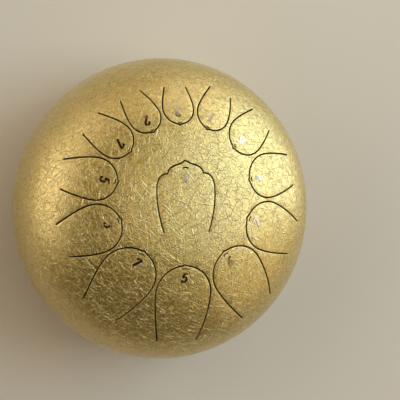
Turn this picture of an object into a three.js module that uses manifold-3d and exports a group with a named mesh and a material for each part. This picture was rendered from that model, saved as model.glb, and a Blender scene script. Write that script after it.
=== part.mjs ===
// A steel tongue drum: two pressed steel shells joined at the rim, thirteen tongues cut in the upper one,
// a foil numeral on each tongue, and four rubber feet screwed to the lower shell round its sound hole.
// Millimetres, +Z up. The origin is on the ground, on the drum's axis.
// The tip of the middle tongue points to +Y.
import * as THREE from "three";
import { mergeVertices } from "three/addons/utils/BufferGeometryUtils.js";
import Module from "manifold-3d";

const wasm = await Module();
wasm.setup();

// Shells
const RIM_RADIUS = 152.5;
const CROWN_RISE = 83;
const CROWN_FULLNESS = 2.42; // 2 is an ellipse, and more is squarer
const BASIN_DEPTH = 70;
const BASIN_FULLNESS = 2.2;
const BASE_RADIUS = 82; // the flat part of the lower shell, which the feet stand on
const WALL = 1.8;
const SEAM_LAP = 6; // how far the lower shell's lip reaches up inside the upper shell
const SEAM_CLEARANCE = 0.5;
const SOUND_HOLE_RADIUS = 38;
const SOUND_HOLE_BEND = 3.2; // outside radius of the lip that is turned in round the sound hole
const SOUND_HOLE_LIP = 7;

// Tongues
const SLIT = 1.3;
const ROOT_GAP = 0.3; // parts a tongue from the shell along the line where the real sheet bends
const TIP_CIRCLE_RADIUS = 68.1; // the ring tongues' tips lie on this circle
const TIP_CIRCLE_OFFSET = 16.3; // from the drum's axis towards the short tongues
const ROOT_TAPER = 0.71; // width of a ring tongue at its root, over its greatest width
const ROOT_SPLAY = 0.3; // how fast a ring tongue's sides close in where they end
const HEAD_STRETCH = 0.98; // length of a ring tongue's round head, over half its width
const NIB_RISE = 1.3;
const NIB_HALF_WIDTH = 4;
const NIB_HOLLOW = 0.33; // how far the nib's hollow flanks reach out, over its half width
const TUNING_SLOT_WIDTH = 1;
const TUNING_SLOT_SPAN = 0.088; // over its tongue's greatest width
const TUNING_SLOT_RISE = 0.16; // over its span
const TUNING_SLOT_SETBACK = 0.072; // from a ring tongue's tip, over the tongue's greatest width

// Ring tongues: each one's length from tip to root, and its greatest width
const LOW5_LENGTH = 77.5;
const LOW5_WIDTH = 56.7;
const LOW6_LENGTH = 73.2;
const LOW6_WIDTH = 54.4;
const LOW7_LENGTH = 69.6;
const LOW7_WIDTH = 55.7;
const MID2_LENGTH = 61.9;
const MID2_WIDTH = 49;
const MID3_LENGTH = 57.3;
const MID3_WIDTH = 47.8;
const MID4_LENGTH = 53.4;
const MID4_WIDTH = 43.6;
const MID5_LENGTH = 51.2;
const MID5_WIDTH = 41.4;
const MID6_LENGTH = 46.3;
const MID6_WIDTH = 38.4;
const MID7_LENGTH = 44.9;
const MID7_WIDTH = 36.6;
const HIGH1_LENGTH = 42.2;
const HIGH1_WIDTH = 33.5;
const HIGH2_LENGTH = 40.3;
const HIGH2_WIDTH = 32.1;
const HIGH3_LENGTH = 37.2;
const HIGH3_WIDTH = 31.4;

// Each ring tongue's tip has a bearing on the tip circle, and its heading runs from tip to root. Degrees.
const RING_TONGUES = [
  { note: "low5", numeral: 5, bearing: 268.8, heading: 269.3, length: LOW5_LENGTH, width: LOW5_WIDTH },
  { note: "low6", numeral: 6, bearing: 304.2, heading: 307, length: LOW6_LENGTH, width: LOW6_WIDTH },
  { note: "low7", numeral: 7, bearing: 231.8, heading: 235.6, length: LOW7_LENGTH, width: LOW7_WIDTH },
  { note: "mid2", numeral: 2, bearing: 339.3, heading: 338.3, length: MID2_LENGTH, width: MID2_WIDTH },
  { note: "mid3", numeral: 3, bearing: 199, heading: 200.2, length: MID3_LENGTH, width: MID3_WIDTH },
  { note: "mid4", numeral: 4, bearing: 11, heading: 9.2, length: MID4_LENGTH, width: MID4_WIDTH },
  { note: "mid5", numeral: 5, bearing: 167.9, heading: 171, length: MID5_LENGTH, width: MID5_WIDTH },
  { note: "mid6", numeral: 6, bearing: 41, heading: 36.6, length: MID6_LENGTH, width: MID6_WIDTH },
  { note: "mid7", numeral: 7, bearing: 140.8, heading: 141.6, length: MID7_LENGTH, width: MID7_WIDTH },
  { note: "high1", numeral: 1, bearing: 68.7, heading: 60, length: HIGH1_LENGTH, width: HIGH1_WIDTH },
  { note: "high2", numeral: 2, bearing: 115.5, heading: 117, length: HIGH2_LENGTH, width: HIGH2_WIDTH },
  { note: "high3", numeral: 3, bearing: 92.2, heading: 89.3, length: HIGH3_LENGTH, width: HIGH3_WIDTH },
];

// The middle tongue: a bracketed arch whose tip points to +Y. Setbacks run from the tip.
const ARCH_TIP_Y = 50;
const ARCH_LENGTH = 70;
const ARCH_ROOT_HALF_WIDTH = 23;
const ARCH_ROOT_SPLAY = 0.33;
const ARCH_WIDEST_SETBACK = 31;
const ARCH_HALF_WIDTH = 29.8;
const ARCH_SHOULDER_PULL = 0.7; // 0 is a straight shoulder, and 1 a square one
const ARCH_CUSP_SETBACK = 12.6;
const ARCH_CUSP_HALF_WIDTH = 18.4;
const ARCH_LOBE_SETBACK = 6.6; // the lobe between cusp and waist bows out towards this point
const ARCH_LOBE_HALF_WIDTH = 17.4;
const ARCH_WAIST_SETBACK = 4.1; // where the lobe meets the hollow flank of the point
const ARCH_WAIST_HALF_WIDTH = 9;
const ARCH_FLANK_SETBACK = 3; // the flank bows in towards this point
const ARCH_FLANK_HALF_WIDTH = 4.3;
const ARCH_SLOT_SETBACK = 6.8;
const ARCH_NUMERAL_SETBACK = 16.6;

// Numerals
const NUMERAL_HEIGHT = 9.2;
const NUMERAL_WIDTH = 5;
const NUMERAL_STROKE = 1.4;
const NUMERAL_SLANT = 0.24;
const NUMERAL_THICKNESS = 0.2;
const NUMERAL_SETBACK = 13.1; // from a ring tongue's tip to the middle of its numeral
const NUMERAL_CLEARANCE = 0.15;

// Feet and their fasteners
const FOOT_COUNT = 4;
const FOOT_HEIGHT = 9;
const FOOT_TOP_RADIUS = 13;
const FOOT_TREAD_RADIUS = 11;
const FOOT_EDGE = 1; // radius of the tread's rounded edge
const FOOT_RECESS_RADIUS = 6.2;
const FOOT_RECESS_DEPTH = 5;
const SCREW_RADIUS = 2;
const SCREW_CLEARANCE = 0.3;
const SCREW_HEAD_RADIUS = 4;
const SCREW_HEAD_HEIGHT = 2.6;
const SCREW_PROUD = 1.5; // how far the screw stands out of its nut
const SCREW_POINT = 0.5;
const CROSS_WIDTH = 1;
const CROSS_SPAN = 4.4;
const CROSS_DEPTH = 1.5;
const WASHER_RADIUS = 5.6;
const WASHER_THICKNESS = 1;
const NUT_ACROSS_FLATS = 7;
const NUT_HEIGHT = 3.2;
const NUT_SIDES = 6;

// Faceting
const ROUND_SEGMENTS = 64;
const FASTENER_SEGMENTS = 16;
const CROWN_STEPS = 12;
const BASIN_STEPS = 7;
const BEND_STEPS = 3;
const CURVE_STEPS = 5;
const MERGE_TOLERANCE = 1e-3;

// Places that follow from the sizes above
const BASE_Z = FOOT_HEIGHT;
const SEAM_Z = BASE_Z + BASIN_DEPTH;
const CROWN_Z = SEAM_Z + CROWN_RISE;
const SCREW_HOLE_RADIUS = SCREW_RADIUS + SCREW_CLEARANCE;
const FOOT_CIRCLE_RADIUS = (SOUND_HOLE_RADIUS + SOUND_HOLE_BEND + BASE_RADIUS) / 2;
const CUT_MARGIN = 5; // a cutter reaches this far past what it cuts
const HALF_TURN = Math.PI;
const QUARTER_TURN = Math.PI / 2;

const GOLD_PAINT = { color: 0xb3913c, metalness: 0.75, roughness: 0.42 };
const MIRROR_FOIL = { color: 0x8d8b86, metalness: 1, roughness: 0.12 };
const BLACK_RUBBER = { color: 0x1b1b1c, metalness: 0, roughness: 0.85 };
const ZINC_STEEL = { color: 0xb9bcc0, metalness: 1, roughness: 0.35 };

const drum = new THREE.Group();

// Solids and meshes

function solidOf(geometry) {
  const bare = geometry.clone();
  bare.deleteAttribute("normal");
  bare.deleteAttribute("uv");
  const merged = mergeVertices(bare, MERGE_TOLERANCE);
  const vertProperties = merged.attributes.position.array;
  const triVerts = new Uint32Array(merged.index.array);
  return new wasm.Manifold(new wasm.Mesh({ numProp: 3, vertProperties, triVerts }));
}

function geometryOf(solid) {
  const mesh = solid.getMesh();
  const geometry = new THREE.BufferGeometry();
  geometry.setAttribute("position", new THREE.BufferAttribute(mesh.vertProperties, 3));
  geometry.setIndex(new THREE.BufferAttribute(mesh.triVerts, 1));
  geometry.computeVertexNormals();
  return geometry;
}

function meshOf(name, geometry, finish) {
  const mesh = new THREE.Mesh(geometry, new THREE.MeshStandardMaterial(finish));
  mesh.name = name;
  return mesh;
}

// A solid of revolution about Z. Its profile of [radius, height] points runs anticlockwise.
function turned(profile, segments) {
  const points = profile.map(([radius, height]) => new THREE.Vector2(radius, height));
  return new THREE.LatheGeometry(points, segments).rotateX(QUARTER_TURN);
}

function prism(points, bottom, top) {
  const shape = new THREE.Shape(points);
  const options = { depth: top - bottom, bevelEnabled: false };
  return new THREE.ExtrudeGeometry(shape, options).translate(0, 0, bottom);
}

// A cylinder along Z.
function rod(radius, bottom, top, segments) {
  const geometry = new THREE.CylinderGeometry(radius, radius, top - bottom, segments);
  return geometry.rotateX(QUARTER_TURN).translate(0, 0, (bottom + top) / 2);
}

// Points on a quarter superellipse, from its top at share 0 to its side at share 1.
function quarterPoint(share, reach, rise, fullness) {
  const angle = share * QUARTER_TURN;
  const power = 2 / fullness;
  const across = share < 1 ? Math.sin(angle) ** power : 1;
  const up = share < 1 ? Math.cos(angle) ** power : 0;
  return [reach * across, rise * up];
}

// The outward normal of that superellipse.
function quarterNormal([across, up], reach, rise, fullness) {
  const normal = new THREE.Vector2(
    (across / reach) ** (fullness - 1) / reach,
    (up / rise) ** (fullness - 1) / rise,
  );
  return normal.normalize();
}

// The points of a path, without those that lie on the point before them.
function pointsOf(path) {
  const points = path.getPoints(CURVE_STEPS);
  return points.filter((point, i) => i === 0 || point.distanceTo(points[i - 1]) > MERGE_TOLERANCE);
}

// Moves an open run of points sideways, to its left where distance is positive, with mitred corners.
function offsetRun(points, distance) {
  return points.map((point, i) => {
    const before = points[Math.max(i - 1, 0)];
    const after = points[Math.min(i + 1, points.length - 1)];
    const arriving = point.clone().sub(before).normalize();
    const leaving = after.clone().sub(point).normalize();
    const first = i === 0 ? leaving : arriving;
    const last = i === points.length - 1 ? arriving : leaving;
    const along = first.clone().add(last).normalize();
    const mitre = distance / along.dot(first);
    return new THREE.Vector2(point.x - along.y * mitre, point.y + along.x * mitre);
  });
}

// The outline of a stroke of even width along an open run of points.
function strokeOutline(points, width) {
  return [...offsetRun(points, -width / 2), ...offsetRun(points, width / 2).reverse()];
}

// Shells

function crownHeight(radius) {
  const share = Math.min(radius / RIM_RADIUS, 1);
  return SEAM_Z + CROWN_RISE * (1 - share ** CROWN_FULLNESS) ** (1 / CROWN_FULLNESS);
}

function crownRadius(up) {
  return RIM_RADIUS * (1 - (up / CROWN_RISE) ** CROWN_FULLNESS) ** (1 / CROWN_FULLNESS);
}

function crownNormal(x, y) {
  const radius = Math.hypot(x, y);
  const up = crownHeight(radius) - SEAM_Z;
  const slope = quarterNormal([radius, up], RIM_RADIUS, CROWN_RISE, CROWN_FULLNESS);
  const bearing = Math.atan2(y, x);
  return new THREE.Vector3(slope.x * Math.cos(bearing), slope.x * Math.sin(bearing), slope.y);
}

// One side of a pressed wall: the superellipse, or the same moved in by the wall's thickness.
function wallSide(reach, rise, fullness, thickness, steps) {
  const points = [];
  for (let i = 0; i <= steps; i += 1) {
    const point = quarterPoint(i / steps, reach, rise, fullness);
    const normal = quarterNormal(point, reach, rise, fullness);
    points.push([point[0] - normal.x * thickness, point[1] - normal.y * thickness]);
  }
  return points;
}

function bend(centreRadius, centreHeight, radius, from, to) {
  const points = [];
  for (let i = 0; i <= BEND_STEPS; i += 1) {
    const angle = from + ((to - from) * i) / BEND_STEPS;
    points.push([centreRadius + radius * Math.cos(angle), centreHeight + radius * Math.sin(angle)]);
  }
  return points;
}

function upperShellBlank() {
  const outer = wallSide(RIM_RADIUS, CROWN_RISE, CROWN_FULLNESS, 0, CROWN_STEPS);
  const inner = wallSide(RIM_RADIUS, CROWN_RISE, CROWN_FULLNESS, WALL, CROWN_STEPS);
  const profile = [...inner, ...outer.reverse()];
  return solidOf(turned(profile.map(([radius, up]) => [radius, SEAM_Z + up]), ROUND_SEGMENTS));
}

function lowerShellBlank() {
  const reach = RIM_RADIUS - BASE_RADIUS;
  const place = ([across, down]) => [BASE_RADIUS + across, SEAM_Z - down];
  const outer = wallSide(reach, BASIN_DEPTH, BASIN_FULLNESS, 0, BASIN_STEPS).map(place);
  const inner = wallSide(reach, BASIN_DEPTH, BASIN_FULLNESS, WALL, BASIN_STEPS).map(place).reverse();
  const lipOuter = crownRadius(SEAM_LAP) - WALL - SEAM_CLEARANCE;
  const bendRadius = SOUND_HOLE_RADIUS + SOUND_HOLE_BEND;
  const bendHeight = BASE_Z + SOUND_HOLE_BEND;
  const profile = [
    ...bend(bendRadius, bendHeight, SOUND_HOLE_BEND, HALF_TURN, HALF_TURN + QUARTER_TURN),
    ...outer,
    [lipOuter, SEAM_Z],
    [lipOuter, SEAM_Z + SEAM_LAP],
    [lipOuter - WALL, SEAM_Z + SEAM_LAP],
    [lipOuter - WALL, SEAM_Z],
    ...inner.slice(1),
    ...bend(bendRadius, bendHeight, SOUND_HOLE_BEND - WALL, HALF_TURN + QUARTER_TURN, HALF_TURN),
    [SOUND_HOLE_RADIUS + WALL, BASE_Z + SOUND_HOLE_LIP],
    [SOUND_HOLE_RADIUS, BASE_Z + SOUND_HOLE_LIP],
  ];
  profile.push(profile[0]);
  return solidOf(turned(profile, ROUND_SEGMENTS));
}

// Tongue outlines, in a frame with the tip at the origin and the root along +X

// The slit round a ring tongue: a round head with a small nib at its tip, and sides that close in.
function ringSlit({ length, width }, shortened) {
  const half = width / 2;
  const head = half * HEAD_STRETCH;
  const centre = NIB_RISE + head;
  const third = (length - centre) / 3;
  const root = half * ROOT_TAPER;
  const pull = root + third * ROOT_SPLAY;
  const end = length - shortened;
  const nibAngle = Math.asin(NIB_HALF_WIDTH / half);
  const nibX = centre - head * Math.cos(nibAngle);
  const hollow = NIB_HALF_WIDTH * NIB_HOLLOW;
  const path = new THREE.Path();
  path.moveTo(end, -root);
  path.bezierCurveTo(length - third, -pull, centre + third, -half, centre, -half);
  path.absellipse(centre, 0, head, half, -QUARTER_TURN, -HALF_TURN + nibAngle, true);
  path.quadraticCurveTo(NIB_RISE, -hollow, 0, 0);
  path.quadraticCurveTo(NIB_RISE, hollow, nibX, NIB_HALF_WIDTH);
  path.absellipse(centre, 0, head, half, HALF_TURN - nibAngle, QUARTER_TURN, true);
  path.bezierCurveTo(centre + third, half, length - third, pull, end, root);
  return path;
}

// The slit round the middle tongue: an ogee point between two cusps, and round shoulders.
function archSlit(shortened) {
  const third = (ARCH_LENGTH - ARCH_WIDEST_SETBACK) / 3;
  const shoulder = (ARCH_WIDEST_SETBACK - ARCH_CUSP_SETBACK) * ARCH_SHOULDER_PULL;
  const brow = (ARCH_HALF_WIDTH - ARCH_CUSP_HALF_WIDTH) * ARCH_SHOULDER_PULL;
  const side = (sign) => ({
    root: [ARCH_LENGTH - shortened, sign * ARCH_ROOT_HALF_WIDTH],
    rootPull: [ARCH_LENGTH - third, sign * (ARCH_ROOT_HALF_WIDTH + third * ARCH_ROOT_SPLAY)],
    sidePull: [ARCH_WIDEST_SETBACK + third, sign * ARCH_HALF_WIDTH],
    widest: [ARCH_WIDEST_SETBACK, sign * ARCH_HALF_WIDTH],
    shoulderPull: [ARCH_WIDEST_SETBACK - shoulder, sign * ARCH_HALF_WIDTH],
    browPull: [ARCH_CUSP_SETBACK, sign * (ARCH_CUSP_HALF_WIDTH + brow)],
    cusp: [ARCH_CUSP_SETBACK, sign * ARCH_CUSP_HALF_WIDTH],
    lobe: [ARCH_LOBE_SETBACK, sign * ARCH_LOBE_HALF_WIDTH],
    waist: [ARCH_WAIST_SETBACK, sign * ARCH_WAIST_HALF_WIDTH],
    flank: [ARCH_FLANK_SETBACK, sign * ARCH_FLANK_HALF_WIDTH],
  });
  const right = side(-1);
  const left = side(1);
  const path = new THREE.Path();
  path.moveTo(...right.root);
  path.bezierCurveTo(...right.rootPull, ...right.sidePull, ...right.widest);
  path.bezierCurveTo(...right.shoulderPull, ...right.browPull, ...right.cusp);
  path.quadraticCurveTo(...right.lobe, ...right.waist);
  path.quadraticCurveTo(...right.flank, 0, 0);
  path.quadraticCurveTo(...left.flank, ...left.waist);
  path.quadraticCurveTo(...left.lobe, ...left.cusp);
  path.bezierCurveTo(...left.browPull, ...left.shoulderPull, ...left.widest);
  path.bezierCurveTo(...left.sidePull, ...left.rootPull, ...left.root);
  return path;
}

// The small arched slot near a tongue's tip.
function tuningSlot({ width, slotSetback }) {
  const span = width * TUNING_SLOT_SPAN;
  const rise = span * TUNING_SLOT_RISE;
  const path = new THREE.Path();
  path.moveTo(slotSetback + rise, -span / 2);
  path.quadraticCurveTo(slotSetback - rise, 0, slotSetback + rise, span / 2);
  return strokeOutline(pointsOf(path), TUNING_SLOT_WIDTH);
}

// Where each tongue lies: its tip in plan, its heading from tip to root, its slit, and how far its
// tuning slot and its numeral are set back from its tip.
function tonguePlan() {
  const ring = RING_TONGUES.map((tongue) => {
    const bearing = THREE.MathUtils.degToRad(tongue.bearing);
    return {
      ...tongue,
      heading: THREE.MathUtils.degToRad(tongue.heading),
      tip: new THREE.Vector2(
        TIP_CIRCLE_RADIUS * Math.cos(bearing),
        TIP_CIRCLE_OFFSET + TIP_CIRCLE_RADIUS * Math.sin(bearing),
      ),
      slit: (shortened) => ringSlit(tongue, shortened),
      slotSetback: tongue.width * TUNING_SLOT_SETBACK,
      numeralSetback: NUMERAL_SETBACK,
    };
  });
  const middle = {
    note: "mid1",
    numeral: 1,
    length: ARCH_LENGTH,
    width: 2 * ARCH_HALF_WIDTH,
    heading: -QUARTER_TURN,
    tip: new THREE.Vector2(0, ARCH_TIP_Y),
    slit: archSlit,
    slotSetback: ARCH_SLOT_SETBACK,
    numeralSetback: ARCH_NUMERAL_SETBACK,
  };
  return [...ring, middle];
}

// A tongue's cutter, moved sideways off the middle of its slit and placed over the crown.
function tongueCutter(tongue, sideways, shortened) {
  return placedCutter(tongue, offsetRun(pointsOf(tongue.slit(shortened)), sideways));
}

function placedCutter({ tip, heading }, outline) {
  const cutter = prism(outline, SEAM_Z, CROWN_Z + CUT_MARGIN);
  return solidOf(cutter.rotateZ(heading).translate(tip.x, tip.y, 0));
}

// Numerals, drawn as strokes in a box one unit wide and high, centred on the origin

function line(...points) {
  return points.map(([x, y]) => new THREE.Vector2(x, y));
}

function arc(x, y, radiusX, radiusY, from, to) {
  const start = THREE.MathUtils.degToRad(from);
  const end = THREE.MathUtils.degToRad(to);
  return new THREE.EllipseCurve(x, y, radiusX, radiusY, start, end, true).getPoints(CURVE_STEPS);
}

const NUMERAL_STROKES = {
  1: [
    line([0.1, 0.5], [0.1, -0.5]),
    line([0.12, 0.47], [-0.3, 0.3]),
    line([-0.26, -0.45], [0.46, -0.45]),
  ],
  2: [
    [...arc(0, 0.24, 0.42, 0.22, 165, -30), ...line([-0.42, -0.44])],
    line([-0.48, -0.44], [0.48, -0.44]),
  ],
  3: [arc(0, 0.24, 0.4, 0.22, 150, -90), arc(0, -0.22, 0.44, 0.24, 90, -150)],
  4: [
    line([0.2, 0.5], [-0.44, -0.2]),
    line([-0.5, -0.18], [0.5, -0.18]),
    line([0.2, 0.1], [0.2, -0.5]),
  ],
  5: [
    line([-0.34, 0.44], [0.44, 0.44]),
    line([-0.3, 0.48], [-0.36, 0]),
    arc(-0.02, -0.18, 0.44, 0.28, 140, -145),
  ],
  6: [arc(0, -0.2, 0.42, 0.26, 180, -180), arc(0.5, -0.2, 0.92, 0.68, 180, 105)],
  7: [line([-0.46, 0.44], [0.46, 0.44]), line([0.42, 0.48], [-0.16, -0.5])],
};

function numeralGeometry(numeral) {
  const slanted = (point) => {
    const height = point.y * NUMERAL_HEIGHT;
    return new THREE.Vector2(point.x * NUMERAL_WIDTH + height * NUMERAL_SLANT, height);
  };
  const strokes = NUMERAL_STROKES[numeral].map((run) => {
    const points = run.map(slanted);
    const closed = points[0].distanceTo(points[points.length - 1]) < MERGE_TOLERANCE;
    if (!closed) return solidOf(prism(strokeOutline(points, NUMERAL_STROKE), 0, NUMERAL_THICKNESS));
    const loop = points.slice(1);
    const ring = (grow) => offsetRun([loop.at(-1), ...loop, loop[0]], grow).slice(1, -1);
    const outside = solidOf(prism(ring(NUMERAL_STROKE / 2), 0, NUMERAL_THICKNESS));
    const inside = prism(ring(-NUMERAL_STROKE / 2), -CUT_MARGIN, NUMERAL_THICKNESS + CUT_MARGIN);
    return outside.subtract(solidOf(inside));
  });
  return geometryOf(strokes.reduce((whole, stroke) => whole.add(stroke)));
}

// A frame that stands on the crown over a tongue, with its Y axis towards the tongue's tip.
function seatOnCrown(tongue, setback, clearance) {
  const away = new THREE.Vector3(Math.cos(tongue.heading), Math.sin(tongue.heading), 0);
  const x = tongue.tip.x + away.x * setback;
  const y = tongue.tip.y + away.y * setback;
  const normal = crownNormal(x, y);
  const across = new THREE.Vector3().crossVectors(away.clone().negate(), normal).normalize();
  const towardsTip = new THREE.Vector3().crossVectors(normal, across);
  const place = new THREE.Vector3(x, y, crownHeight(Math.hypot(x, y))).addScaledVector(normal, clearance);
  return new THREE.Matrix4().makeBasis(across, towardsTip, normal).setPosition(place);
}

// Where a tongue bends: the middle of its root, half way through the wall, with X along its heading.
function tonguePivot({ tip, heading, length }) {
  const x = tip.x + length * Math.cos(heading);
  const y = tip.y + length * Math.sin(heading);
  const depth = WALL / 2 / crownNormal(x, y).z;
  const pivot = new THREE.Group();
  pivot.position.set(x, y, crownHeight(Math.hypot(x, y)) - depth);
  pivot.rotation.z = heading;
  pivot.updateMatrixWorld(true);
  return pivot;
}

// The upper shell with its tongues and numerals

function addCrown() {
  const blank = upperShellBlank();
  let shell = blank;
  for (const tongue of tonguePlan()) {
    shell = shell.subtract(tongueCutter(tongue, SLIT / 2, 0));
    const cut = blank
      .intersect(tongueCutter(tongue, -SLIT / 2, ROOT_GAP))
      .subtract(placedCutter(tongue, tuningSlot(tongue)));
    const pivot = tonguePivot(tongue);
    const geometry = geometryOf(cut).applyMatrix4(pivot.matrixWorld.clone().invert());
    pivot.add(meshOf(`tongue_${tongue.note}`, geometry, GOLD_PAINT));
    const numeral = meshOf(`numeral_${tongue.note}`, numeralGeometry(tongue.numeral), MIRROR_FOIL);
    numeral.applyMatrix4(seatOnCrown(tongue, tongue.numeralSetback, NUMERAL_CLEARANCE));
    pivot.attach(numeral);
    drum.add(pivot);
  }
  drum.add(meshOf("upper_shell", geometryOf(shell), GOLD_PAINT));
}

// The lower shell

function footPlaces() {
  return Array.from({ length: FOOT_COUNT }, (_, i) => {
    const bearing = ((2 * i + 1) * HALF_TURN) / FOOT_COUNT;
    const along = new THREE.Vector3(Math.cos(bearing), Math.sin(bearing), 0);
    return along.multiplyScalar(FOOT_CIRCLE_RADIUS);
  });
}

function addBasin() {
  let shell = lowerShellBlank();
  for (const place of footPlaces()) {
    const drill = rod(SCREW_HOLE_RADIUS, BASE_Z - CUT_MARGIN, BASE_Z + WALL + CUT_MARGIN, FASTENER_SEGMENTS);
    shell = shell.subtract(solidOf(drill.translate(place.x, place.y, 0)));
  }
  drum.add(meshOf("lower_shell", geometryOf(shell), GOLD_PAINT));
}

// Feet, each with its washer, screw and nut

function footGeometry() {
  const edge = bend(FOOT_TREAD_RADIUS - FOOT_EDGE, FOOT_EDGE, FOOT_EDGE, -QUARTER_TURN, 0);
  const profile = [
    [SCREW_HOLE_RADIUS, FOOT_RECESS_DEPTH],
    [FOOT_RECESS_RADIUS, FOOT_RECESS_DEPTH],
    [FOOT_RECESS_RADIUS, 0],
    ...edge,
    [FOOT_TOP_RADIUS, FOOT_HEIGHT],
    [SCREW_HOLE_RADIUS, FOOT_HEIGHT],
    [SCREW_HOLE_RADIUS, FOOT_RECESS_DEPTH],
  ];
  return turned(profile, FASTENER_SEGMENTS);
}

function washerGeometry() {
  const top = FOOT_RECESS_DEPTH;
  const bottom = top - WASHER_THICKNESS;
  const profile = [
    [SCREW_HOLE_RADIUS, bottom],
    [WASHER_RADIUS, bottom],
    [WASHER_RADIUS, top],
    [SCREW_HOLE_RADIUS, top],
    [SCREW_HOLE_RADIUS, bottom],
  ];
  return turned(profile, FASTENER_SEGMENTS);
}

// A pan-head screw, head down, with a cross recess in its head.
function screwGeometry() {
  const seat = FOOT_RECESS_DEPTH - WASHER_THICKNESS;
  const end = BASE_Z + WALL + NUT_HEIGHT + SCREW_PROUD;
  const pan = [];
  for (let i = 0; i <= BEND_STEPS; i += 1) {
    const angle = (i / BEND_STEPS) * QUARTER_TURN;
    pan.push([SCREW_HEAD_RADIUS * Math.sin(angle), seat - SCREW_HEAD_HEIGHT * Math.cos(angle)]);
  }
  const profile = [
    ...pan,
    [SCREW_RADIUS, seat],
    [SCREW_RADIUS, end - SCREW_POINT],
    [SCREW_RADIUS - SCREW_POINT, end],
    [0, end],
  ];
  const headBottom = seat - SCREW_HEAD_HEIGHT;
  const bar = (x, y) => solidOf(new THREE.BoxGeometry(x, y, 2 * CROSS_DEPTH).translate(0, 0, headBottom));
  const blank = solidOf(turned(profile, FASTENER_SEGMENTS));
  return geometryOf(blank.subtract(bar(CROSS_SPAN, CROSS_WIDTH)).subtract(bar(CROSS_WIDTH, CROSS_SPAN)));
}

function nutGeometry() {
  const bottom = BASE_Z + WALL;
  const top = bottom + NUT_HEIGHT;
  const cornerRadius = NUT_ACROSS_FLATS / 2 / Math.cos(HALF_TURN / NUT_SIDES);
  const blank = solidOf(rod(cornerRadius, bottom, top, NUT_SIDES));
  const hole = rod(SCREW_HOLE_RADIUS, bottom - CUT_MARGIN, top + CUT_MARGIN, FASTENER_SEGMENTS);
  return geometryOf(blank.subtract(solidOf(hole)));
}

function addFeet() {
  const pieces = [
    ["foot", footGeometry(), BLACK_RUBBER],
    ["foot_washer", washerGeometry(), ZINC_STEEL],
    ["foot_screw", screwGeometry(), ZINC_STEEL],
    ["foot_nut", nutGeometry(), ZINC_STEEL],
  ];
  footPlaces().forEach((place, i) => {
    for (const [name, geometry, finish] of pieces) {
      const mesh = meshOf(`${name}_${i + 1}`, geometry, finish);
      mesh.position.copy(place);
      drum.add(mesh);
    }
  });
}

addCrown();
addBasin();
addFeet();

export default drum;
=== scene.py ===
"""The looks of a steel tongue drum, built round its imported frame.

The drum lies on its feet, and the camera looks down on its crown from the angle of the photograph.
Sizes are in millimetres and angles in degrees. Meshes are in metres.
"""

import logging
import math
from collections.abc import Callable, Iterable, Sequence
from dataclasses import dataclass, field
from enum import Enum
from typing import Any, ClassVar

import bmesh
import bpy
from bmesh.types import BMesh, BMEdge, BMVert
from mathutils import Matrix, Vector
from mathutils.geometry import interpolate_bezier
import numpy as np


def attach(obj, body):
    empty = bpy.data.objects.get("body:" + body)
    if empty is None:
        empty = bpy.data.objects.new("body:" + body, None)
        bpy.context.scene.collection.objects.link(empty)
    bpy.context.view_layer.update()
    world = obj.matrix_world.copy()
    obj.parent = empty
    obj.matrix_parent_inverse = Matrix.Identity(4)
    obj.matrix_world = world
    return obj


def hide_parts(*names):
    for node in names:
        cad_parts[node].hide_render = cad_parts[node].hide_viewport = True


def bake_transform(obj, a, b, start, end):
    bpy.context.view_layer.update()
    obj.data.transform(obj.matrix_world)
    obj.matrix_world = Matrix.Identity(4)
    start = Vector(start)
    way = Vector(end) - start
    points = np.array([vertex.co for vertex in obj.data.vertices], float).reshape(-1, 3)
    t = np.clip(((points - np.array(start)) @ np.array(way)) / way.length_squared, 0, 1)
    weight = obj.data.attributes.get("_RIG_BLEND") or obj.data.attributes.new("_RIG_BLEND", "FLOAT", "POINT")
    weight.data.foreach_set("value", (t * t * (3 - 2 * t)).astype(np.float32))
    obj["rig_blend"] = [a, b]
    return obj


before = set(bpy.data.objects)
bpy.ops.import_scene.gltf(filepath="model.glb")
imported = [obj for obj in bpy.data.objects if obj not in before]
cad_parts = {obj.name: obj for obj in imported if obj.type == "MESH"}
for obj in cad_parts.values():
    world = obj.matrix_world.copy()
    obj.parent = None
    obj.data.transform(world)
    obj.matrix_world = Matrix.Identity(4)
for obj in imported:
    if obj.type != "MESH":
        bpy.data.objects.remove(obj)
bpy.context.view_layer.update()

LOG = logging.getLogger("tongue_drum")
MM = 0.001
WELD = 1e-7  # vertices of a turned mesh that lie closer than this are one, in metres
SHARP = 32.0  # edges that turn by this angle or more are shaded sharp
DEPTH_LAYER = "depth"  # of a vertex below the outer face of the crown
SHEET_LAYER = "sheet"  # place of a vertex on the flat sheet that its shell is pressed from
RUN_LAYER = "run"  # length along a turned profile, from its first point

Section = list[tuple[float, float]]  # radius and height of each point of a turned profile


class Slot(Enum):
    """The record's material slots."""

    PAINT = "gold_paint"
    FOIL = "mirror_foil"
    RUBBER = "rubber"
    ZINC = "zinc_steel"


class Side(Enum):
    """The faces of a shell, by the number of their finish."""

    OUTER = 0
    INNER = 1
    CUT = 2


# Colours and nodes


def linear(colour: str) -> tuple[float, float, float, float]:
    """Turns an sRGB hex colour to linear.

    Args:
        colour: Six hex digits after a hash sign.

    Returns:
        Linear red, green, blue and an alpha of 1.
    """
    shares = [int(colour[i : i + 2], 16) / 255 for i in (1, 3, 5)]
    red, green, blue = (s / 12.92 if s <= 0.04045 else ((s + 0.055) / 1.055) ** 2.4 for s in shares)
    return red, green, blue, 1.0


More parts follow.
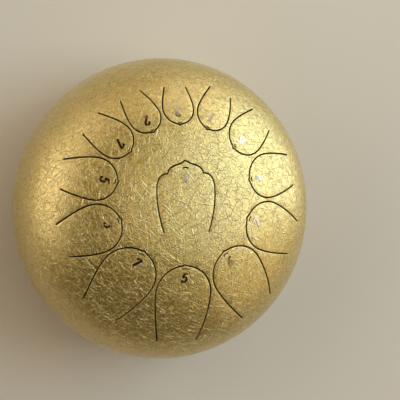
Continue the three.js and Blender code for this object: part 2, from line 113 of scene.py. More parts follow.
def add_node(
    tree: bpy.types.NodeTree,
    kind: str,
    inputs: dict[str | int, Any] | None = None,
    **settings: Any,
) -> bpy.types.Node:
    """Adds a node with its settings and links.

    Args:
        tree: The tree that gets the node.
        kind: The node's type.
        inputs: For each socket by name or number, the socket that it is linked to, or its value.
        **settings: Attributes of the node.

    Returns:
        The node.
    """
    made = tree.nodes.new(kind)
    for name, value in settings.items():
        setattr(made, name, value)
    for name, value in (inputs or {}).items():
        if isinstance(value, bpy.types.NodeSocket):
            tree.links.new(value, made.inputs[name])
        else:
            made.inputs[name].default_value = value
    return made


def new_material(name: str) -> tuple[bpy.types.Material, bpy.types.NodeTree, bpy.types.Node]:
    """Starts a material.

    Args:
        name: What the real material is.

    Returns:
        The material, its node tree and its Principled shader.
    """
    material = bpy.data.materials.new(name)
    material.use_nodes = True
    tree = material.node_tree
    return material, tree, tree.nodes["Principled BSDF"]


def millimetres(tree: bpy.types.NodeTree) -> bpy.types.NodeSocket:
    """Object coordinates in millimetres.

    Args:
        tree: The material's node tree.

    Returns:
        The socket that gives them.
    """
    place = add_node(tree, "ShaderNodeTexCoord").outputs["Object"]
    inputs = {0: place, "Scale": 1 / MM}
    return add_node(tree, "ShaderNodeVectorMath", inputs, operation="SCALE").outputs["Vector"]


# Finishes


@dataclass(frozen=True)
class CrackleNet:
    """A net of raised or sunken lines between the plates of crazed paint."""

    along: float  # size of a plate along its grain
    across: float  # size of a plate across its grain
    grain: float  # which way the grain runs
    width: float  # of a line
    relief: float  # how far a line stands up or lies sunk


@dataclass(frozen=True)
class CracklePaint:
    """Brass-flake paint that crazed as it dried: satin gold, with fine ridges and cracks that cross.

    A ridge turns its light aside, so it shows dark where the paint is bright and bright where it is dark;
    its paler colour adds a painted glint.
    Real ridges and cracks are finer. These are just coarse enough to show in the picture.
    """

    name: str = "gold crackle paint"
    flake: str = "#DCC15E"
    shade: str = "#BA9A38"
    # pale colour of the ridges: a painted glint, on top of the glint that their bump gives
    painted_ridge_glint: str = "#E2CA74"
    crack: str = "#6E5822"
    roughness: float = 0.4
    coat: float = 1.0
    coat_roughness: float = 0.25
    coat_ior: float = 2.05  # above a lacquer's, for the paint's pale highlights
    mottle: float = 1.5  # size of the flake's mottling
    mottle_relief: float = 0.012
    mottle_levels: tuple[float, float] = (0.3, 0.7)  # of the noise, where it is all shade and all flake
    ridges: tuple[CrackleNet, ...] = (
        CrackleNet(2.1, 1.7, 0, 1.2, 0.12),
        CrackleNet(29.0, 3.5, -32, 0.3, 0.31),
        CrackleNet(27.0, 3.8, 50, 0.3, 0.27),
        CrackleNet(25.0, 4.4, 8, 0.3, 0.23),
        CrackleNet(25.0, 4.4, 103, 0.3, 0.22),
    )
    cracks: tuple[CrackleNet, ...] = (
        CrackleNet(9.0, 6.5, 15, 0.5, 0.08),
        CrackleNet(8.0, 6.0, 75, 0.5, 0.08),
    )
    fade: float = 6.0  # a line comes and goes over about this length
    faded: tuple[float, float] = (0.4, 0.6)  # levels of the noise where a line is gone, and full

    def material(self) -> bpy.types.Material:
        """Makes the paint.

        Returns:
            The material.
        """
        material, tree, shader = new_material(self.name)
        place = add_node(tree, "ShaderNodeAttribute", attribute_name=SHEET_LAYER).outputs["Vector"]
        height = self.highest(tree, place, self.ridges)
        depth = self.highest(tree, place, self.cracks)
        inputs = {"Vector": place, "Scale": 1 / self.mottle, "Detail": 2.0}
        cloud = add_node(tree, "ShaderNodeTexNoise", inputs, noise_dimensions="2D").outputs[0]
        low, high = self.mottle_levels
        inputs = {"Value": cloud, "From Min": low, "From Max": high}
        speck = add_node(tree, "ShaderNodeMapRange", inputs).outputs[0]
        inputs = {0: speck, 6: linear(self.shade), 7: linear(self.flake)}
        colour = add_node(tree, "ShaderNodeMix", inputs, data_type="RGBA").outputs[2]
        # Ridges take a paler colour, a painted glint; cracks take the darker base coat that shows in them.
        for level, nets, tint in ((height, self.ridges, self.painted_ridge_glint), (depth, self.cracks, self.crack)):
            inputs = {"Value": level, "From Max": max(net.relief for net in nets)}
            share = add_node(tree, "ShaderNodeMapRange", inputs).outputs[0]
            inputs = {0: share, 6: colour, 7: linear(tint)}
            colour = add_node(tree, "ShaderNodeMix", inputs, data_type="RGBA").outputs[2]
        relief = add_node(tree, "ShaderNodeMath", {0: height, 1: depth}, operation="SUBTRACT").outputs[0]
        inputs = {"Height": cloud, "Strength": 1.0, "Distance": self.mottle_relief * MM}
        grain = add_node(tree, "ShaderNodeBump", inputs).outputs["Normal"]
        inputs = {"Height": relief, "Strength": 1.0, "Distance": MM, "Normal": grain}
        bump = add_node(tree, "ShaderNodeBump", inputs).outputs["Normal"]
        tree.links.new(colour, shader.inputs["Base Color"])
        tree.links.new(bump, shader.inputs["Normal"])
        tree.links.new(bump, shader.inputs["Coat Normal"])
        shader.inputs["Roughness"].default_value = self.roughness
        shader.inputs["Metallic"].default_value = 1.0
        shader.inputs["Coat Weight"].default_value = self.coat
        shader.inputs["Coat IOR"].default_value = self.coat_ior
        shader.inputs["Coat Roughness"].default_value = self.coat_roughness
        return material

    def highest(
        self, tree: bpy.types.NodeTree, place: bpy.types.NodeSocket, nets: Sequence[CrackleNet]
    ) -> bpy.types.NodeSocket:
        """The highest of some nets at each place.

        Args:
            tree: The paint's node tree.
            place: Place on the flat sheet, in millimetres.
            nets: Their sizes.

        Returns:
            Its height, in millimetres.
        """
        found = [self.lines(tree, place, net) for net in nets]
        height = found[0]
        for line in found[1:]:
            height = add_node(tree, "ShaderNodeMath", {0: height, 1: line}, operation="MAXIMUM").outputs[0]
        return height

    def lines(
        self, tree: bpy.types.NodeTree, place: bpy.types.NodeSocket, net: CrackleNet
    ) -> bpy.types.NodeSocket:
        """The lines of one net.

        Args:
            tree: The paint's node tree.
            place: Place on the flat sheet, in millimetres.
            net: Its sizes.

        Returns:
            Their height, in millimetres.
        """
        inputs = {
            "Vector": place,
            "Rotation": (0, 0, math.radians(net.grain)),
            "Scale": (net.along, net.across, 1),
        }
        laid = add_node(tree, "ShaderNodeMapping", inputs, vector_type="TEXTURE").outputs["Vector"]
        settings = {"feature": "DISTANCE_TO_EDGE", "voronoi_dimensions": "2D"}
        cells = add_node(tree, "ShaderNodeTexVoronoi", {"Vector": laid, "Scale": 1.0}, **settings)
        edge = cells.outputs["Distance"]
        inputs = {"Value": edge, "From Max": net.width / 2 / net.across, "To Min": net.relief, "To Max": 0.0}
        line = add_node(tree, "ShaderNodeMapRange", inputs, interpolation_type="SMOOTHSTEP").outputs[0]
        inputs = {"Vector": place, "W": net.grain, "Scale": 1 / self.fade, "Detail": 1.0}
        cloud = add_node(tree, "ShaderNodeTexNoise", inputs, noise_dimensions="4D").outputs[0]
        inputs = {"Value": cloud, "From Min": self.faded[0], "From Max": self.faded[1]}
        share = add_node(tree, "ShaderNodeMapRange", inputs).outputs[0]
        return add_node(tree, "ShaderNodeMath", {0: line, 1: share}, operation="MULTIPLY").outputs[0]


@dataclass(frozen=True)
class PrimedSteel:
    """Sheet steel under a dull dark primer, as it is left inside a drum."""

    name: str = "primed sheet steel"
    colour: str = "#2A2725"
    worn: str = "#3A3632"
    patch: float = 18.0  # size of a worn patch
    roughness: float = 0.7

    def material(self) -> bpy.types.Material:
        """Makes the primer.

        Returns:
            The material.
        """
        material, tree, shader = new_material(self.name)
        inputs = {"Vector": millimetres(tree), "Scale": 1 / self.patch, "Detail": 5.0}
        cloud = add_node(tree, "ShaderNodeTexNoise", inputs).outputs[0]
        inputs = {0: cloud, 6: linear(self.colour), 7: linear(self.worn)}
        colour = add_node(tree, "ShaderNodeMix", inputs, data_type="RGBA").outputs[2]
        tree.links.new(colour, shader.inputs["Base Color"])
        shader.inputs["Roughness"].default_value = self.roughness
        return material


@dataclass(frozen=True)
class CutSteel:
    """The bare edge of laser-cut sheet: grey metal with fine upright streaks."""

    name: str = "cut steel edge"
    bright: str = "#C4C0B8"
    dull: str = "#948F88"
    streak: float = 0.4  # width of a streak
    streak_length: float = 6.0
    roughness: float = 0.38

    def material(self) -> bpy.types.Material:
        """Makes the edge.

        Returns:
            The material.
        """
        material, tree, shader = new_material(self.name)
        size = (self.streak, self.streak, self.streak_length)
        inputs = {"Vector": millimetres(tree), "Scale": size}
        laid = add_node(tree, "ShaderNodeMapping", inputs, vector_type="TEXTURE").outputs["Vector"]
        inputs = {"Vector": laid, "Scale": 1.0, "Detail": 2.0}
        streaks = add_node(tree, "ShaderNodeTexNoise", inputs).outputs[0]
        inputs = {0: streaks, 6: linear(self.dull), 7: linear(self.bright)}
        colour = add_node(tree, "ShaderNodeMix", inputs, data_type="RGBA").outputs[2]
        tree.links.new(colour, shader.inputs["Base Color"])
        shader.inputs["Roughness"].default_value = self.roughness
        shader.inputs["Metallic"].default_value = 1.0
        return material


@dataclass(frozen=True)
class MirrorFoil:
    """Hot-stamped dark chrome foil: black or white with what it faces, and a little uneven."""

    name: str = "dark mirror foil"
    colour: str = "#A49480"
    ripple: float = 2.4  # size of its unevenness
    ripple_height: float = 0.04
    roughness: tuple[float, float] = (0.06, 0.16)  # at its smoothest and at its roughest

    def material(self) -> bpy.types.Material:
        """Makes the foil.

        Returns:
            The material.
        """
        material, tree, shader = new_material(self.name)
        inputs = {"Vector": millimetres(tree), "Scale": 1 / self.ripple, "Detail": 2.0}
        cloud = add_node(tree, "ShaderNodeTexNoise", inputs).outputs[0]
        inputs = {"Value": cloud, "To Min": self.roughness[0], "To Max": self.roughness[1]}
        rough = add_node(tree, "ShaderNodeMapRange", inputs).outputs[0]
        inputs = {"Height": cloud, "Strength": 1.0, "Distance": self.ripple_height * MM}
        bump = add_node(tree, "ShaderNodeBump", inputs).outputs["Normal"]
        tree.links.new(rough, shader.inputs["Roughness"])
        tree.links.new(bump, shader.inputs["Normal"])
        shader.inputs["Base Color"].default_value = linear(self.colour)
        shader.inputs["Metallic"].default_value = 1.0
        return material


@dataclass(frozen=True)
class MouldedRubber:
    """Moulded black rubber: matt, with a fine grain and a trace of bloom.

    Its real grain is finer. This one is coarse enough to show.
    """

    name: str = "moulded rubber"
    colour: str = "#1B1B1C"
    bloom: str = "#2E2E2F"
    patch: float = 6.0  # size of a patch of bloom
    grain: float = 0.7
    grain_height: float = 0.1
    grain_strength: float = 0.6
    roughness: float = 0.78

    def material(self) -> bpy.types.Material:
        """Makes the rubber.

        Returns:
            The material.
        """
        material, tree, shader = new_material(self.name)
        place = millimetres(tree)
        inputs = {"Vector": place, "Scale": 1 / self.patch, "Detail": 4.0}
        cloud = add_node(tree, "ShaderNodeTexNoise", inputs).outputs[0]
        inputs = {0: cloud, 6: linear(self.colour), 7: linear(self.bloom)}
        colour = add_node(tree, "ShaderNodeMix", inputs, data_type="RGBA").outputs[2]
        inputs = {"Vector": place, "Scale": 1 / self.grain, "Detail": 2.0}
        grain = add_node(tree, "ShaderNodeTexNoise", inputs).outputs[0]
        inputs = {"Height": grain, "Strength": self.grain_strength, "Distance": self.grain_height * MM}
        bump = add_node(tree, "ShaderNodeBump", inputs).outputs["Normal"]
        tree.links.new(colour, shader.inputs["Base Color"])
        tree.links.new(bump, shader.inputs["Normal"])
        shader.inputs["Roughness"].default_value = self.roughness
        return material


@dataclass(frozen=True)
class ZincPlate:
    """Zinc plate on steel: bright grey, with a faint spangle."""

    name: str = "zinc plated steel"
    bright: str = "#C3C6CA"
    dull: str = "#9EA2A8"
    spangle: float = 1.6
    roughness: tuple[float, float] = (0.28, 0.45)  # in the middle of a spangle, and away from it

    def material(self) -> bpy.types.Material:
        """Makes the plate.

        Returns:
            The material.
        """
        material, tree, shader = new_material(self.name)
        inputs = {"Vector": millimetres(tree), "Scale": 1 / self.spangle}
        away = add_node(tree, "ShaderNodeTexVoronoi", inputs).outputs["Distance"]
        inputs = {0: away, 6: linear(self.bright), 7: linear(self.dull)}
        colour = add_node(tree, "ShaderNodeMix", inputs, data_type="RGBA").outputs[2]
        inputs = {"Value": away, "To Min": self.roughness[0], "To Max": self.roughness[1]}
        rough = add_node(tree, "ShaderNodeMapRange", inputs).outputs[0]
        tree.links.new(colour, shader.inputs["Base Color"])
        tree.links.new(rough, shader.inputs["Roughness"])
        shader.inputs["Metallic"].default_value = 1.0
        return material


# Curves in a plane


def smooth(start: Vector, pull_a: Vector, pull_b: Vector, end: Vector, steps: int) -> list[Vector]:
    """Points of a cubic curve, without its first one."""
    return interpolate_bezier(start, pull_a, pull_b, end, steps + 1)[1:]


def bow(start: Vector, pull: Vector, end: Vector, steps: int) -> list[Vector]:
    """Points of a curve with one pull, without its first one."""
    return smooth(start, start.lerp(pull, 2 / 3), end.lerp(pull, 2 / 3), end, steps)


def arc(centre: Vector, radii: Vector, start: float, end: float, steps: int) -> list[Vector]:
    """Points of a stretch of an ellipse, its ends among them.

    Args:
        centre: Middle of the ellipse.
        radii: Its radius each way.
        start: Angle of the first point.
        end: Angle of the last point.
        steps: Number of spans.

    Returns:
        The points.
    """
    angles = [math.radians(start + (end - start) * i / steps) for i in range(steps + 1)]
    return [centre + Vector((radii.x * math.cos(a), radii.y * math.sin(a))) for a in angles]


def corner(centre: tuple[float, float], radius: float, start: float, end: float, steps: int) -> Section:
    """Points of a round corner of a section, its ends among them."""
    return [(p.x, p.y) for p in arc(Vector(centre), Vector((radius, radius)), start, end, steps)]


def mitres(run: Sequence[Vector]) -> list[Vector]:
    """How far each point of an open run moves where the run shifts by 1 to its left.

    Args:
        run: The points.

    Returns:
        The move of each.
    """
    sides = [(b - a).normalized().orthogonal() for a, b in zip(run, run[1:])]
    inner = [(a + b) / (1 + a.dot(b)) for a, b in zip(sides, sides[1:])]
    return [sides[0], *inner, sides[-1]]


def around(run: Sequence[Vector], distance: float, cap_steps: int = 4) -> list[Vector]:
    """A closed loop at one distance from an open run of points, round at both ends.

    Args:
        run: The points.
        distance: How far the loop keeps from them.
        cap_steps: Number of spans in each round end.

    Returns:
        The loop's points.
    """
    shifts = mitres(run)
    left = [p + m * distance for p, m in zip(run, shifts)]
    right = [p - m * distance for p, m in zip(run, shifts)]

    def cap(centre: Vector, side: Vector, ahead: Vector) -> list[Vector]:
        """Points that go round one end."""
        turns = [math.pi * i / cap_steps for i in range(1, cap_steps)]
        return [centre + (side * math.cos(a) + ahead * math.sin(a)) * distance for a in turns]

    last = cap(run[-1], shifts[-1], (run[-1] - run[-2]).normalized())
    first = cap(run[0], -shifts[0], (run[0] - run[1]).normalized())
    return [*left, *last, *reversed(right), *first]


# Meshes


def edges_round(ring: Sequence[BMVert]) -> list[BMEdge]:
    """Edges of a closed ring of vertices."""
    pairs = zip(ring, [*ring[1:], ring[0]])
    return [next(e for e in a.link_edges if e.other_vert(a) is b) for a, b in pairs]


def new_ring(bm: BMesh, points: Iterable[Vector]) -> list[BMVert]:
    """Adds a closed ring of edges.

    Args:
        bm: The mesh that gets it.
        points: Its places.

    Returns:
        Its vertices.
    """
    ring = [bm.verts.new(p) for p in points]
    for a, b in zip(ring, [*ring[1:], ring[0]]):
        bm.edges.new((a, b))
    return ring


def grow_ring(bm: BMesh, ring: Sequence[BMVert], points: Iterable[Vector]) -> list[BMVert]:
    """Extrudes a ring to new places.

    Args:
        bm: The mesh that it is part of.
        ring: Its vertices.
        points: A new place for each.

    Returns:
        The vertices of the new ring.
    """
    made = bmesh.ops.extrude_edge_only(bm, edges=edges_round(ring))["geom"]
    fresh = {v for v in made if isinstance(v, BMVert)}
    grown = [next(e.other_vert(v) for e in v.link_edges if e.other_vert(v) in fresh) for v in ring]
    for vert, point in zip(grown, points):
        vert.co = point
    return grown


def spun(profile: Section, steps: int, closed: bool = True) -> BMesh:
    """Turns a profile once round Z.

    Args:
        profile: Its section.
        steps: Number of spans round the axis.
        closed: Whether the last point joins the first.

    Returns:
        The turned mesh, facing out.
    """
    bm = bmesh.new()
    run = bm.verts.layers.float.new(RUN_LAYER)
    verts = [bm.verts.new((r * MM, 0, z * MM)) for r, z in profile]
    for a, b in zip(verts, verts[1:]):
        b[run] = a[run] + (b.co - a.co).length / MM
    ends = [*verts[1:], verts[0]] if closed else verts[1:]
    for a, b in zip(verts, ends):
        bm.edges.new((a, b))
    bmesh.ops.spin(
        bm, geom=bm.verts[:] + bm.edges[:], axis=(0, 0, 1), angle=math.tau, steps=steps, use_merge=True
    )
    bmesh.ops.remove_doubles(bm, verts=bm.verts, dist=WELD)
    bmesh.ops.recalc_face_normals(bm, faces=bm.faces)
    return bm


def crease(bm: BMesh, angle: float = SHARP) -> None:
    """Smooths the shading, except across sharp edges.

    Args:
        bm: The mesh.
        angle: Edges that turn by this much or more are sharp.
    """
    for face in bm.faces:
        face.smooth = True
    for edge in bm.edges:
        if edge.is_manifold:
            edge.smooth = edge.calc_face_angle() < math.radians(angle)


def piece(name: str, bm: BMesh, *materials: bpy.types.Material) -> bpy.types.Object:
    """Turns a mesh under construction into an object of the scene.

    Args:
        name: The piece's name.
        bm: The mesh, which is freed.
        *materials: Its materials, in the order of its faces' numbers.

    Returns:
        The object.
    """
    mesh = bpy.data.meshes.new(name)
    bm.to_mesh(mesh)
    bm.free()
    for material in materials:
        mesh.materials.append(material)
    made = bpy.data.objects.new(name, mesh)
    bpy.context.scene.collection.objects.link(made)
    LOG.info("%s: %d faces", name, len(mesh.polygons))
    return made


# The crown


@dataclass(frozen=True)
class Crown:
    """The upper shell's outer face, a superellipse turned about Z, and the flat sheet that it comes from."""

    radius: float = 152.5
    rise: float = 83.0
    fullness: float = 2.42  # power of the superellipse
    seam: float = 79.0  # height at which the shells meet
    wall: float = 1.8
    rim_lip: float = 0.5  # radius of each shell's rounded edge at the seam
    spread: float = 120.0  # radius on the flat sheet for each radian of the crown's section

    def flatten(self, plan: Vector) -> Vector:
        """Where a point of the plan lies on the flat sheet."""
        share = plan.length / self.radius
        return plan.normalized() * self.spread * math.asin(min(share ** (self.fullness / 2), 1.0))

    def rim(self, height: float) -> float:
        """Radius on the flat sheet of the ring at a height above the seam."""
        return self.spread * math.acos((height / self.rise) ** (self.fullness / 2))

    def press(self, flat: Vector, depth: float) -> Vector:
        """Where a point of the flat sheet comes to lie, in metres.

        Args:
            flat: The point on the sheet.
            depth: How far below the outer face it lies.

        Returns:
            Its place in space.
        """
        turn = min(flat.length / self.spread, math.pi / 2)
        out = max(math.sin(turn), 0.0) ** (2 / self.fullness)
        up = max(math.cos(turn), 0.0) ** (2 / self.fullness)
        power = self.fullness - 1
        normal = Vector((out**power / self.radius, up**power / self.rise)).normalized()
        radius = out * self.radius - normal.x * depth
        height = self.seam + up * self.rise - normal.y * depth
        bearing = Vector((flat.x, flat.y)).normalized() if flat.length else Vector((0, 0))
        return Vector((bearing.x * radius, bearing.y * radius, height)) * MM


@dataclass(frozen=True)
class Slit:
    """A cut through the crown, along a run of points in plan, with rounded upper edges."""

    run: list[Vector]
    width: float
    lip: float  # radius of the rounded edge

    def loop(self, crown: Crown, turn: float) -> list[Vector]:
        """One ring of the rounded edge on the flat sheet: 0 is its upper end and 90 its lower one."""
        distance = self.width / 2 + self.lip * (1 - math.sin(math.radians(turn)))
        return [crown.flatten(p).to_3d() for p in around(self.run, distance)]


@dataclass(frozen=True)
class Tongue:
    """A tongue of the crown. Its own axes run from its tip to its root, and to the left of that."""

    note: str
    numeral: int
    tip: Vector
    heading: float
    length: float
    width: float

    curve_steps: int = field(default=10, kw_only=True)
    nib_steps: int = field(default=3, kw_only=True)

    def place(self, along: float, left: float) -> Vector:
        """A point of the tongue's own axes, in plan.

        Args:
            along: How far it lies from the tip towards the root.
            left: How far it lies to the left of that way.

        Returns:
            Its place.
        """
        turn = math.radians(self.heading)
        ahead = Vector((math.cos(turn), math.sin(turn)))
        return self.tip + ahead * along + Vector((-ahead.y, ahead.x)) * left

    def right_side(self) -> list[Vector]:
        """The right half of the slit in the tongue's own axes, from root to tip."""
        raise NotImplementedError

    def slit_run(self) -> list[Vector]:
        """The whole slit in plan.

        Returns:
            Its points, from one end of the root to the other.
        """
        right = self.right_side()
        left = [Vector((p.x, -p.y)) for p in reversed(right[:-1])]
        return [self.place(p.x, p.y) for p in [*right, *left]]


@dataclass(frozen=True)
class RingTongue(Tongue):
    """A round-headed tongue with a small nib at its tip."""

    root_taper: float = 0.71
    root_splay: float = 0.3
    head_stretch: float = 0.98
    nib_rise: float = 1.3
    nib_half_width: float = 4.0
    nib_hollow: float = 0.33
    head_steps: int = 12

    def right_side(self) -> list[Vector]:
        """The right half of the slit.

        Returns:
            Its points in the tongue's own axes, from root to tip.
        """
        half = self.width / 2
        head = half * self.head_stretch
        centre = self.nib_rise + head
        third = (self.length - centre) / 3
        root = half * self.root_taper
        flank = Vector((centre, -half))
        start = Vector((self.length, -root))
        root_pull = Vector((self.length - third, -root - third * self.root_splay))
        side_pull = Vector((centre + third, -half))
        radii = Vector((head, half))
        nib_turn = math.degrees(math.asin(self.nib_half_width / half))
        round_head = arc(Vector((centre, 0)), radii, -90, nib_turn - 180, self.head_steps)
        nib_pull = Vector((self.nib_rise, -self.nib_half_width * self.nib_hollow))
        nib = bow(round_head[-1], nib_pull, Vector((0, 0)), self.nib_steps)
        return [start, *smooth(start, root_pull, side_pull, flank, self.curve_steps), *round_head[1:], *nib]


@dataclass(frozen=True)
class ArchTongue(Tongue):
    """The middle tongue: a bracketed arch. Setbacks run from its tip."""

    root_half_width: float = 23.0
    root_splay: float = 0.33
    widest_setback: float = 31.0
    shoulder_pull: float = 0.7
    cusp: tuple[float, float] = (12.6, 18.4)  # setback and half width
    lobe: tuple[float, float] = (6.6, 17.4)
    waist: tuple[float, float] = (4.1, 9.0)
    flank: tuple[float, float] = (3.0, 4.3)
    lobe_steps: int = 5

    def right_side(self) -> list[Vector]:
        """The right half of the slit.

        Returns:
            Its points in the tongue's own axes, from root to tip.
        """
        third = (self.length - self.widest_setback) / 3
        half = self.width / 2
        start = Vector((self.length, -self.root_half_width))
        root_pull = Vector((self.length - third, -self.root_half_width - third * self.root_splay))
        side_pull = Vector((self.widest_setback + third, -half))
        widest = Vector((self.widest_setback, -half))
        corners = (self.cusp, self.lobe, self.waist, self.flank)
        cusp, lobe, waist, flank = (Vector((setback, -across)) for setback, across in corners)
        shoulder_pull = widest - Vector((widest.x - cusp.x, 0)) * self.shoulder_pull
        brow_pull = cusp + Vector((0, widest.y - cusp.y)) * self.shoulder_pull
        return [
            start,
            *smooth(start, root_pull, side_pull, widest, self.curve_steps),
            *smooth(widest, shoulder_pull, brow_pull, cusp, self.curve_steps),
            *bow(cusp, lobe, waist, self.lobe_steps),
            *bow(waist, flank, Vector((0, 0)), self.nib_steps),
        ]


@dataclass(frozen=True)
class TonguePlan:
    """Where the thirteen tongues lie on the crown."""

    tip_circle_radius: float = 68.1
    tip_circle_offset: float = 16.3
    arch_tip: float = 50.0
    arch_length: float = 70.0
    arch_width: float = 59.6

    def ring(
        self, note: str, numeral: int, bearing: float, heading: float, length: float, width: float
    ) -> RingTongue:
        """A tongue whose tip lies on the tip circle.

        Args:
            note: Its note's name.
            numeral: The number on it.
            bearing: Where on the circle its tip lies.
            heading: Which way its root lies from its tip.
            length: Its length.
            width: Its greatest width.

        Returns:
            The tongue.
        """
        turn = math.radians(bearing)
        tip = Vector((math.cos(turn), math.sin(turn))) * self.tip_circle_radius
        return RingTongue(note, numeral, tip + Vector((0, self.tip_circle_offset)), heading, length, width)

    def tongues(self) -> list[Tongue]:
        """All thirteen.

        Returns:
            The tongues, from the lowest note to the highest.
        """
        return [
            self.ring("low5", 5, 268.8, 269.3, 77.5, 56.7),
            self.ring("low6", 6, 304.2, 307, 73.2, 54.4),
            self.ring("low7", 7, 231.8, 235.6, 69.6, 55.7),
            ArchTongue("mid1", 1, Vector((0, self.arch_tip)), 270, self.arch_length, self.arch_width),
            self.ring("mid2", 2, 339.3, 338.3, 61.9, 49),
            self.ring("mid3", 3, 199, 200.2, 57.3, 47.8),
            self.ring("mid4", 4, 11, 9.2, 53.4, 43.6),
            self.ring("mid5", 5, 167.9, 171, 51.2, 41.4),
            self.ring("mid6", 6, 41, 36.6, 46.3, 38.4),
            self.ring("mid7", 7, 140.8, 141.6, 44.9, 36.6),
            self.ring("high1", 1, 68.7, 60, 42.2, 33.5),
            self.ring("high2", 2, 115.5, 117, 40.3, 32.1),
            self.ring("high3", 3, 92.2, 89.3, 37.2, 31.4),
        ]


@dataclass
class UpperShell:
    """The upper shell and its tongues, cut and pressed from one flat sheet."""

    crown: Crown
    tongues: list[Tongue]
    slit_width: float = 1.3
    slit_lip: float = 0.35
    slot_width: float = 1.0
    slot_lip: float = 0.2
    slot_span: float = 0.088  # over its tongue's width
    slot_rise: float = 0.16  # over its span
    slot_setback: float = 0.072  # from a ring tongue's tip, over the tongue's width
    arch_slot_setback: float = 6.8
    rim_segments: int = 180
    grid: float = 6.0  # spacing of the cuts that let the sheet follow the crown
    snap: float = 0.02  # a cut goes through a vertex that lies this near to it
    root_reach: float = 12.0  # faces whose middle lies this near to a root line may lie on it
    bend: float = 14.0  # the stretch of a tongue next to its root that flexes
    lip_turns: tuple[float, ...] = (30.0, 60.0, 90.0)  # where the rings of a rounded edge lie on it

    def tuning_slot(self, tongue: Tongue) -> list[Vector]:
        """The crescent slot near a tongue's tip.

        Args:
            tongue: The tongue.

        Returns:
            The slot's points in plan.
        """
        arch = isinstance(tongue, ArchTongue)
        setback = self.arch_slot_setback if arch else tongue.width * self.slot_setback
        span = tongue.width * self.slot_span
        rise = span * self.slot_rise
        ends = [Vector((setback + rise, side * span / 2)) for side in (-1, 1)]
        run = [ends[0], *bow(ends[0], Vector((setback - rise, 0)), ends[1], tongue.curve_steps)]
        return [tongue.place(p.x, p.y) for p in run]

    def slits(self) -> list[Slit]:
        """Every cut through the crown.

        Returns:
            The tongues' slits, and then their tuning slots.
        """
        cuts = [Slit(t.slit_run(), self.slit_width, self.slit_lip) for t in self.tongues]
        slots = [Slit(self.tuning_slot(t), self.slot_width, self.slot_lip) for t in self.tongues]
        return cuts + slots

    def flat_sheet(self) -> BMesh:
        """The flat sheet with its cuts, each with the rings of its rounded edge.

        Returns:
            The sheet, in millimetres.
        """
        bm = bmesh.new()
        depth = bm.verts.layers.float.new(DEPTH_LAYER)

        def rim_ring(turn: float) -> list[Vector]:
            """One ring of the rim's rounded edge.

            Args:
                turn: Where it lies: 0 is the edge's upper end and 90 its lower one.

            Returns:
                Its points on the flat sheet.
            """
            radius = self.crown.rim(self.crown.rim_lip * (1 - math.sin(math.radians(turn))))
            turns = [math.tau * i / self.rim_segments for i in range(self.rim_segments)]
            return [Vector((math.cos(a), math.sin(a), 0)) * radius for a in turns]

        edges: list[tuple[list[BMVert], float, Callable[[float], list[Vector]]]] = []
        edges.append((new_ring(bm, rim_ring(0)), self.crown.rim_lip, rim_ring))
        for slit in self.slits():

            def slit_ring(turn: float, cut: Slit = slit) -> list[Vector]:
                """One ring of a slit's rounded edge."""
                return cut.loop(self.crown, turn)

            edges.append((new_ring(bm, slit_ring(0)), slit.lip, slit_ring))
        bmesh.ops.triangle_fill(bm, use_beauty=True, edges=bm.edges[:], normal=(0, 0, 1))
        for ring, lip, points in edges:
            for turn in self.lip_turns:
                ring = grow_ring(bm, ring, points(turn))
                for vert in ring:
                    vert[depth] = lip * (1 - math.cos(math.radians(turn)))
        return bm

    def cut_grid(self, bm: BMesh) -> None:
        """Cuts the flat sheet small enough to follow the crown.

        Args:
            bm: The sheet.
        """
        count = int(self.crown.rim(0) / self.grid)
        for normal in (Vector((1, 0, 0)), Vector((0, 1, 0))):
            for step in range(-count, count + 1):
                bmesh.ops.bisect_plane(
                    bm,
                    geom=bm.verts[:] + bm.edges[:] + bm.faces[:],
                    dist=self.snap,
                    plane_co=normal * step * self.grid,
                    plane_no=normal,
                )

    def cut_root(self, bm: BMesh, tongue: Tongue) -> None:
        """Parts a tongue from the flat sheet along its root.

        Args:
            bm: The sheet.
            tongue: The tongue.
        """
        run = tongue.slit_run()
        start, end = self.crown.flatten(run[0]).to_3d(), self.crown.flatten(run[-1]).to_3d()
        span = end - start
        side = Vector((-span.y, span.x, 0)).normalized()

        def crosses(centre: Vector) -> bool:
            """Whether a face may lie on the root line."""
            away = centre - start
            return 0 < away.dot(span) < span.length_squared and abs(away.dot(side)) < self.root_reach

        faces = [f for f in bm.faces if crosses(f.calc_center_median())]
        near = {e for f in faces for e in f.edges}
        verts = {v for f in faces for v in f.verts}
        made = bmesh.ops.bisect_plane(
            bm, geom=[*verts, *near, *faces], dist=self.snap, plane_co=start, plane_no=side
        )
        bmesh.ops.split_edges(bm, edges=[e for e in made["geom_cut"] if isinstance(e, BMEdge)])

    def island(self, bm: BMesh, seed: Vector) -> set[int]:
        """The faces that hang together with one of the flat sheet.

        Args:
            bm: The sheet.
            seed: The point that the one face is nearest to.

        Returns:
            The faces' numbers.
        """
        first = min(bm.faces, key=lambda f: (f.calc_center_median() - seed).length_squared)
        found = {first}
        waiting = [first]
        while waiting:
            face = waiting.pop()
            beside = {f for e in face.edges for f in e.link_faces} - found
            found |= beside
            waiting.extend(beside)
        return {f.index for f in found}

    def thicken(self, bm: BMesh) -> None:
        """Presses a piece of the flat sheet to the crown and gives it its wall.

        Args:
            bm: The piece.
        """
        sheet = bm.verts.layers.float_vector.new(SHEET_LAYER)
        depth = bm.verts.layers.float[DEPTH_LAYER]
        made = bmesh.ops.extrude_face_region(bm, geom=bm.faces[:], use_keep_orig=True)["geom"]
        outer = {v for v in made if isinstance(v, BMVert)}
        for vert in bm.verts:
            vert[sheet] = vert.co
            vert.co = self.crown.press(vert.co, vert[depth] if vert in outer else self.crown.wall)
        bmesh.ops.recalc_face_normals(bm, faces=bm.faces)
        for face in bm.faces:
            face.smooth = True
            count = sum(v in outer for v in face.verts)
            side = Side.OUTER if count == len(face.verts) else Side.CUT if count else Side.INNER
            face.material_index = side.value
        for edge in bm.edges:
            kinds = {f.material_index for f in edge.link_faces}
            rounded = all(v in outer and v[depth] > 0 for v in edge.verts)
            edge.smooth = len(kinds) == 1 or rounded

